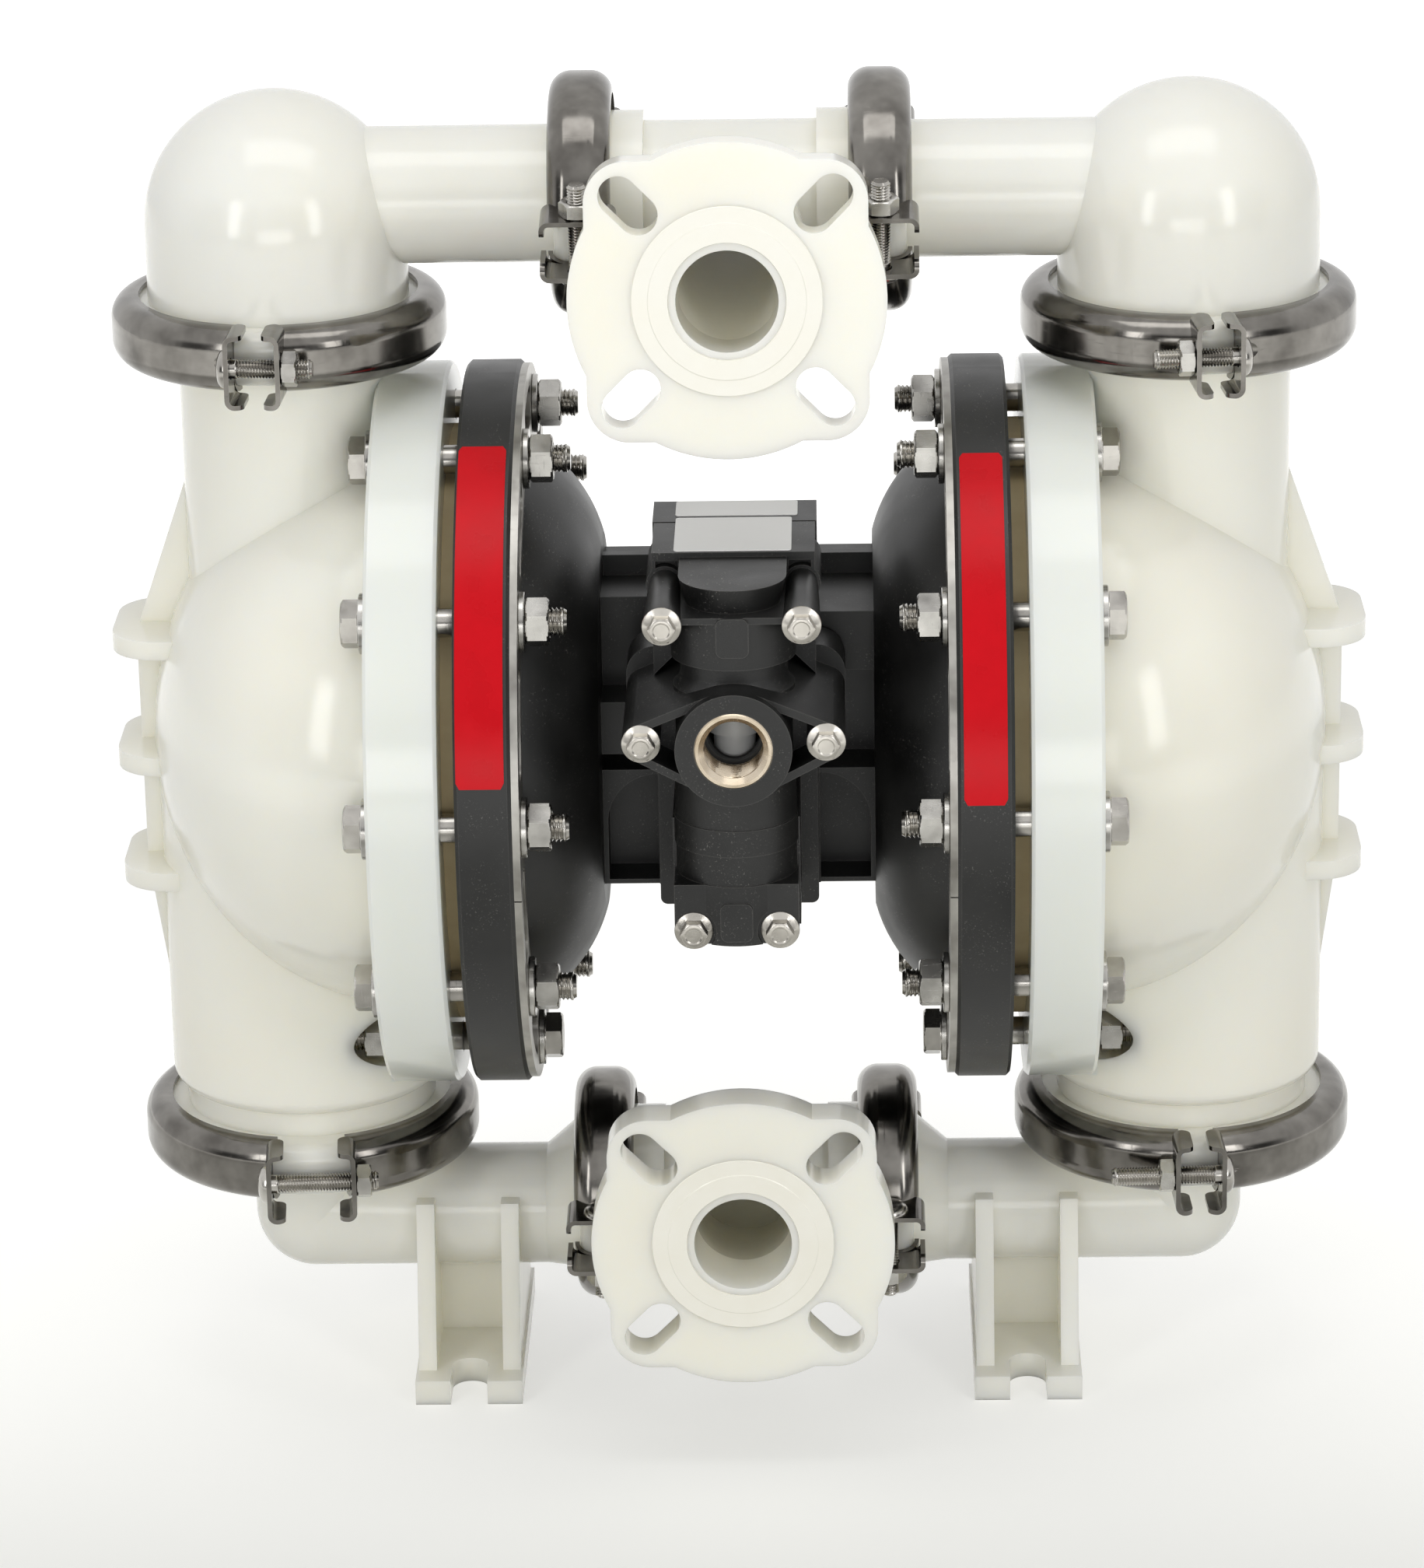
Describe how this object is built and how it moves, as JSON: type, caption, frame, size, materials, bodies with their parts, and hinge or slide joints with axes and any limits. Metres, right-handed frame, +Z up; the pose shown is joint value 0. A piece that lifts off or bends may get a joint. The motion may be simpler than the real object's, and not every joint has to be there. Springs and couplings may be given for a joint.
{
  "type": "air operated double diaphragm pump",
  "caption": "Air operated diaphragm pump with clamped plastic chambers, tee manifolds with flanged ports and moulded feet.",
  "frame": {"origin": "on the floor, midway between the two feet", "axes": "+X to the right along the diaphragm rod, -Y towards the ports and the air valve, +Z up"},
  "size_m": [0.53, 0.309, 0.5754],
  "materials": {
    "white_moulding": "milky moulded polypropylene, glossy",
    "black_moulding": "glass filled polypropylene, satin with pale flow marks",
    "band_steel": "pressed stainless steel, dull",
    "bright_steel": "bright stainless fasteners",
    "ring_steel": "laser cut stainless sheet",
    "diaphragm": "tan elastomer",
    "seat_ball": "fluoropolymer",
    "seal": "white covered seal",
    "insert_metal": "warm nickel plated insert",
    "spool_plastic": "white acetal",
    "rod_steel": "ground stainless rod",
    "plate_plastic": "moulded plate",
    "gasket": "thin gasket",
    "muffler": "porous plastic silencer"
  },
  "bodies": {
    "pump": {"air_chamber_left": "black_moulding", "air_chamber_right": "black_moulding", "air_inlet_insert": "insert_metal", "air_valve_body": "black_moulding", "backing_rings_left": "ring_steel", "backing_rings_right": "ring_steel", "backup_diaphragm_left": "diaphragm", "backup_diaphragm_right": "diaphragm", "centre_block": "black_moulding", "chamber_bolts": "bright_steel", "chamber_nuts": "bright_steel", "chamber_washers": "bright_steel", "clamp_bolts": "bright_steel", "clamp_discharge_left": "band_steel", "clamp_discharge_right": "band_steel", "clamp_lower_left": "band_steel", "clamp_lower_right": "band_steel", "clamp_nuts": "bright_steel", "clamp_suction_left": "band_steel", "clamp_suction_right": "band_steel", "clamp_upper_left": "band_steel", "clamp_upper_right": "band_steel", "column_seals": "seal", "discharge_elbow_left": "white_moulding", "discharge_elbow_right": "white_moulding", "discharge_seat_left": "seat_ball", "discharge_seat_right": "seat_ball", "discharge_tee": "white_moulding", "exhaust_muffler": "muffler", "fluid_chamber_left": "white_moulding", "fluid_chamber_right": "white_moulding", "main_diaphragm_left": "diaphragm", "main_diaphragm_right": "diaphragm", "manifold_seals": "seal", "pilot_sleeve": "spool_plastic", "rod_bushings": "spool_plastic", "rod_seals": "seal", "spool_end_plugs": "spool_plastic", "spool_sleeve": "spool_plastic", "suction_elbow_left": "white_moulding", "suction_elbow_right": "white_moulding", "suction_seat_left": "seat_ball", "suction_seat_right": "seat_ball", "suction_tee": "white_moulding", "valve_bolts": "bright_steel", "valve_gasket": "gasket"},
    "rod_assembly": {"diaphragm_rod": "rod_steel", "inner_plate_left": "plate_plastic", "inner_plate_right": "plate_plastic", "outer_plate_left": "plate_plastic", "outer_plate_right": "plate_plastic"},
    "pilot": {"pilot_rod": "rod_steel"},
    "spool": {"valve_spool": "spool_plastic"},
    "discharge_ball_left": {"discharge_ball_left": "seat_ball"},
    "discharge_ball_right": {"discharge_ball_right": "seat_ball"},
    "suction_ball_left": {"suction_ball_left": "seat_ball"},
    "suction_ball_right": {"suction_ball_right": "seat_ball"}
  },
  "joints": [
    {"name": "rod_stroke", "type": "slide", "parent": "pump", "child": "rod_assembly", "axis": [1, 0, 0], "range_m": [-0.02, 0.02], "deforming": ["main_diaphragm_left", "main_diaphragm_right", "backup_diaphragm_left", "backup_diaphragm_right"]},
    {"name": "pilot_shift", "type": "slide", "parent": "pump", "child": "pilot", "axis": [1, 0, 0], "range_m": [-0.006, 0.006]},
    {"name": "spool_shift", "type": "slide", "parent": "pump", "child": "spool", "axis": [0, 0, 1], "range_m": [-0.005, 0.005]},
    {"name": "discharge_ball_left_lift", "type": "slide", "parent": "pump", "child": "discharge_ball_left", "axis": [0, 0, 1], "range_m": [0, 0.008]},
    {"name": "discharge_ball_right_lift", "type": "slide", "parent": "pump", "child": "discharge_ball_right", "axis": [0, 0, 1], "range_m": [0, 0.008]},
    {"name": "suction_ball_left_lift", "type": "slide", "parent": "pump", "child": "suction_ball_left", "axis": [0, 0, 1], "range_m": [0, 0.008]},
    {"name": "suction_ball_right_lift", "type": "slide", "parent": "pump", "child": "suction_ball_right", "axis": [0, 0, 1], "range_m": [0, 0.008]}
  ],
  "couplings": [
    {"joint": "pilot_shift", "follows": "rod_stroke", "ratio": 0.3}
  ]
}
